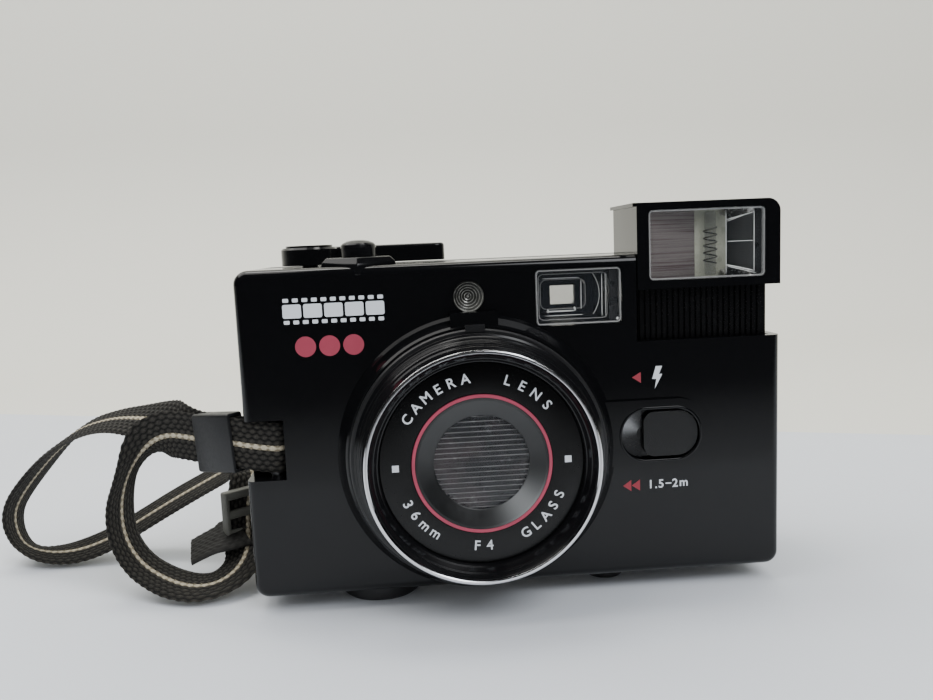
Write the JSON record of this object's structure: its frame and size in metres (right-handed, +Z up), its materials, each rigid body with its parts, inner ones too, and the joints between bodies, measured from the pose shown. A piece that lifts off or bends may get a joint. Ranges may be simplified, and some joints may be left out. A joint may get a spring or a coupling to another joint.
{
  "type": "compact film camera",
  "caption": "Compact 35 mm film camera with fixed wide lens, ribbed sliding lens cover, pop-up flash, lever advance, hinged back and webbing wrist strap.",
  "frame": {"origin": "middle of the case, lens and door in plan, on the surface the feet stand on", "axes": "+X to the right seen from the front, +Y from lens to back, +Z up"},
  "size_m": [0.2043, 0.0716, 0.0921],
  "materials": {
    "case_black": "polished moulded plastic",
    "chassis_black": "satin moulded plastic, matt inside",
    "control_black": "satin moulded plastic",
    "button_black": "polished button",
    "switch_black": "fine ribbed thumb pad",
    "barrel_black": "gloss black lacquered barrel",
    "face_black": "smooth black plate with white lettering",
    "satin_black": "satin black cone",
    "accent_pink": "dull rose-red paint",
    "cover_smoke": "ribbed dark plastic",
    "chrome_trim": "bright plated trim",
    "anodised_black": "black anodised",
    "spring_steel": "thin spring strip",
    "steel": "plain steel",
    "brass_insert": "threaded insert",
    "foam": "light-sealing foam",
    "clear_plastic": "clear moulded window",
    "optical_glass": "polished glass",
    "reflector_bright": "bright metallised reflector",
    "cell_sleeve": "plain battery sleeve",
    "capacitor_sleeve": "shrink sleeve",
    "board_green": "circuit board",
    "dial_black": "counter disc with white figures",
    "slider_charcoal": "fine-grained plastic keeper",
    "buckle_grey": "grey-black plastic buckle",
    "webbing": "woven webbing with a cream centre stripe"
  },
  "bodies": {
    "case": {"front_cover": "case_black", "flash_well": "control_black", "main_body": "chassis_black", "door_hinge_pin": "steel", "light_seals": "foam", "lens_barrel": "barrel_black", "chrome_rim": "chrome_trim", "face_plate": "face_black", "accent_ring": "accent_pink", "lens_cone": "satin_black", "lens_window": "optical_glass", "shutter_housing": "control_black", "lens_cells": "anodised_black", "lens_elements": "optical_glass", "finder_window": "clear_plastic", "finder_tunnel": "control_black", "finder_lenses": "optical_glass", "light_meter": "chrome_trim", "batteries": "cell_sleeve", "flash_capacitor": "capacitor_sleeve", "circuit_board": "board_green", "shutter_pedestal": "case_black", "counter_window": "clear_plastic", "tripod_boss": "control_black", "tripod_bush": "brass_insert", "small_feet": "control_black", "case_screws": "steel", "strap_pin": "steel", "strap_slider": "slider_charcoal", "strap_loop": "webbing", "strap_long_strand": "webbing", "strap_short_strand": "webbing", "strap_adjuster": "buckle_grey", "strap_tail": "webbing"},
    "door": {"back_door": "case_black", "film_window": "clear_plastic", "pressure_plate": "anodised_black", "pressure_spring": "spring_steel"},
    "latch": {"door_latch": "control_black"},
    "speed_ring": {"film_speed_ring": "control_black"},
    "cover_up": {"lens_cover_upper": "cover_smoke"},
    "cover_down": {"lens_cover_lower": "cover_smoke"},
    "leaf_left": {"shutter_leaf_left": "spring_steel"},
    "leaf_right": {"shutter_leaf_right": "spring_steel"},
    "flash": {"flash_head": "case_black", "flash_lid": "case_black", "flash_window": "clear_plastic", "flash_reflector": "reflector_bright", "flash_tube": "optical_glass", "flash_column": "control_black"},
    "battery_lid": {"battery_door": "control_black"},
    "release": {"shutter_button": "button_black"},
    "lever": {"advance_lever": "case_black"},
    "sprocket": {"film_sprocket": "control_black"},
    "idler": {"idler_gear": "control_black"},
    "spool": {"take_up_spool": "control_black"},
    "counter": {"counter_dial": "dial_black"},
    "switch": {"flash_switch": "switch_black"},
    "rewind": {"rewind_hub": "control_black"},
    "crank_arm": {"rewind_arm": "control_black"}
  },
  "joints": [
    {"name": "door_hinge", "type": "hinge", "parent": "case", "child": "door", "pos_m": [-0.0598, 0.0241, 0.033], "axis": [0, 0, 1], "range_deg": [0, 110]},
    {"name": "latch_slide", "type": "slide", "parent": "case", "child": "latch", "axis": [0, 0, 1], "range_m": [-0.004, 0], "stiffness_N_per_m": 60, "springref_m": 0.002},
    {"name": "speed_ring_turn", "type": "hinge", "parent": "case", "child": "speed_ring", "pos_m": [-0.0095, -0.0166, 0.0362], "axis": [0, 1, 0], "range_deg": [-30, 30]},
    {"name": "release_press", "type": "slide", "parent": "case", "child": "release", "axis": [0, 0, 1], "range_m": [-0.0018, 0], "stiffness_N_per_m": 200, "springref_m": 0.0006},
    {"name": "cover_up_slide", "type": "slide", "parent": "case", "child": "cover_up", "axis": [0, 0, 1], "range_m": [0, 0.011]},
    {"name": "cover_down_slide", "type": "slide", "parent": "case", "child": "cover_down", "axis": [0, 0, 1], "range_m": [-0.011, 0]},
    {"name": "leaf_left_swing", "type": "hinge", "parent": "case", "child": "leaf_left", "pos_m": [-0.0235, -0.012, 0.0362], "axis": [0, 1, 0], "range_deg": [0, 60]},
    {"name": "leaf_right_swing", "type": "hinge", "parent": "case", "child": "leaf_right", "pos_m": [0.0045, -0.012, 0.0362], "axis": [0, 1, 0], "range_deg": [0, 60]},
    {"name": "flash_lift", "type": "slide", "parent": "case", "child": "flash", "axis": [0, 0, 1], "range_m": [-0.0106, 0], "stiffness_N_per_m": 60, "springref_m": 0.012},
    {"name": "battery_lid_hinge", "type": "hinge", "parent": "case", "child": "battery_lid", "pos_m": [0.0597, 0.0057, 0.005], "axis": [0, -1, 0], "range_deg": [0, 100]},
    {"name": "lever_swing", "type": "hinge", "parent": "case", "child": "lever", "pos_m": [-0.0482, 0.0131, 0.08], "axis": [0, 0, 1], "range_deg": [0, 130], "stiffness_Nm_per_rad": 0.001, "springref_deg": -17.19},
    {"name": "sprocket_turn", "type": "hinge", "parent": "case", "child": "sprocket", "pos_m": [-0.034, 0.0142, 0.036], "axis": [0, 0, 1], "range_deg": [0, 480]},
    {"name": "idler_turn", "type": "hinge", "parent": "case", "child": "idler", "pos_m": [-0.03812, 0.01388, 0.066], "axis": [0, 0, 1], "range_deg": [-575, 0]},
    {"name": "spool_turn", "type": "hinge", "parent": "case", "child": "spool", "pos_m": [-0.0482, 0.0131, 0.036], "axis": [0, 0, 1], "range_deg": [0, 245]},
    {"name": "counter_turn", "type": "hinge", "parent": "case", "child": "counter", "pos_m": [-0.016, 0.0012, 0.078], "axis": [0, 0, 1], "range_deg": [0, 11]},
    {"name": "switch_slide", "type": "slide", "parent": "case", "child": "switch", "axis": [1, 0, 0], "range_m": [-0.0038, 0], "stiffness_N_per_m": 60, "springref_m": 0.002},
    {"name": "rewind_turn", "type": "hinge", "parent": "case", "child": "rewind", "pos_m": [0.0322, 0.0087, 0.003], "axis": [0, 0, 1], "continuous": true},
    {"name": "crank_unfold", "type": "hinge", "parent": "rewind", "child": "crank_arm", "pos_m": [0.0286, 0.0087, 0.0022], "axis": [0, 1, 0], "range_deg": [0, 170]}
  ],
  "couplings": [
    {"joint": "cover_up_slide", "follows": "release_press", "ratio": -6.1},
    {"joint": "cover_down_slide", "follows": "release_press", "ratio": 6.1},
    {"joint": "leaf_left_swing", "follows": "release_press", "rad_per_m": -580},
    {"joint": "leaf_right_swing", "follows": "release_press", "rad_per_m": -580},
    {"joint": "idler_turn", "follows": "lever_swing", "ratio": -4.4},
    {"joint": "sprocket_turn", "follows": "lever_swing", "ratio": 3.6667},
    {"joint": "spool_turn", "follows": "lever_swing", "ratio": 1.87},
    {"joint": "counter_turn", "follows": "lever_swing", "ratio": 0.0769}
  ]
}
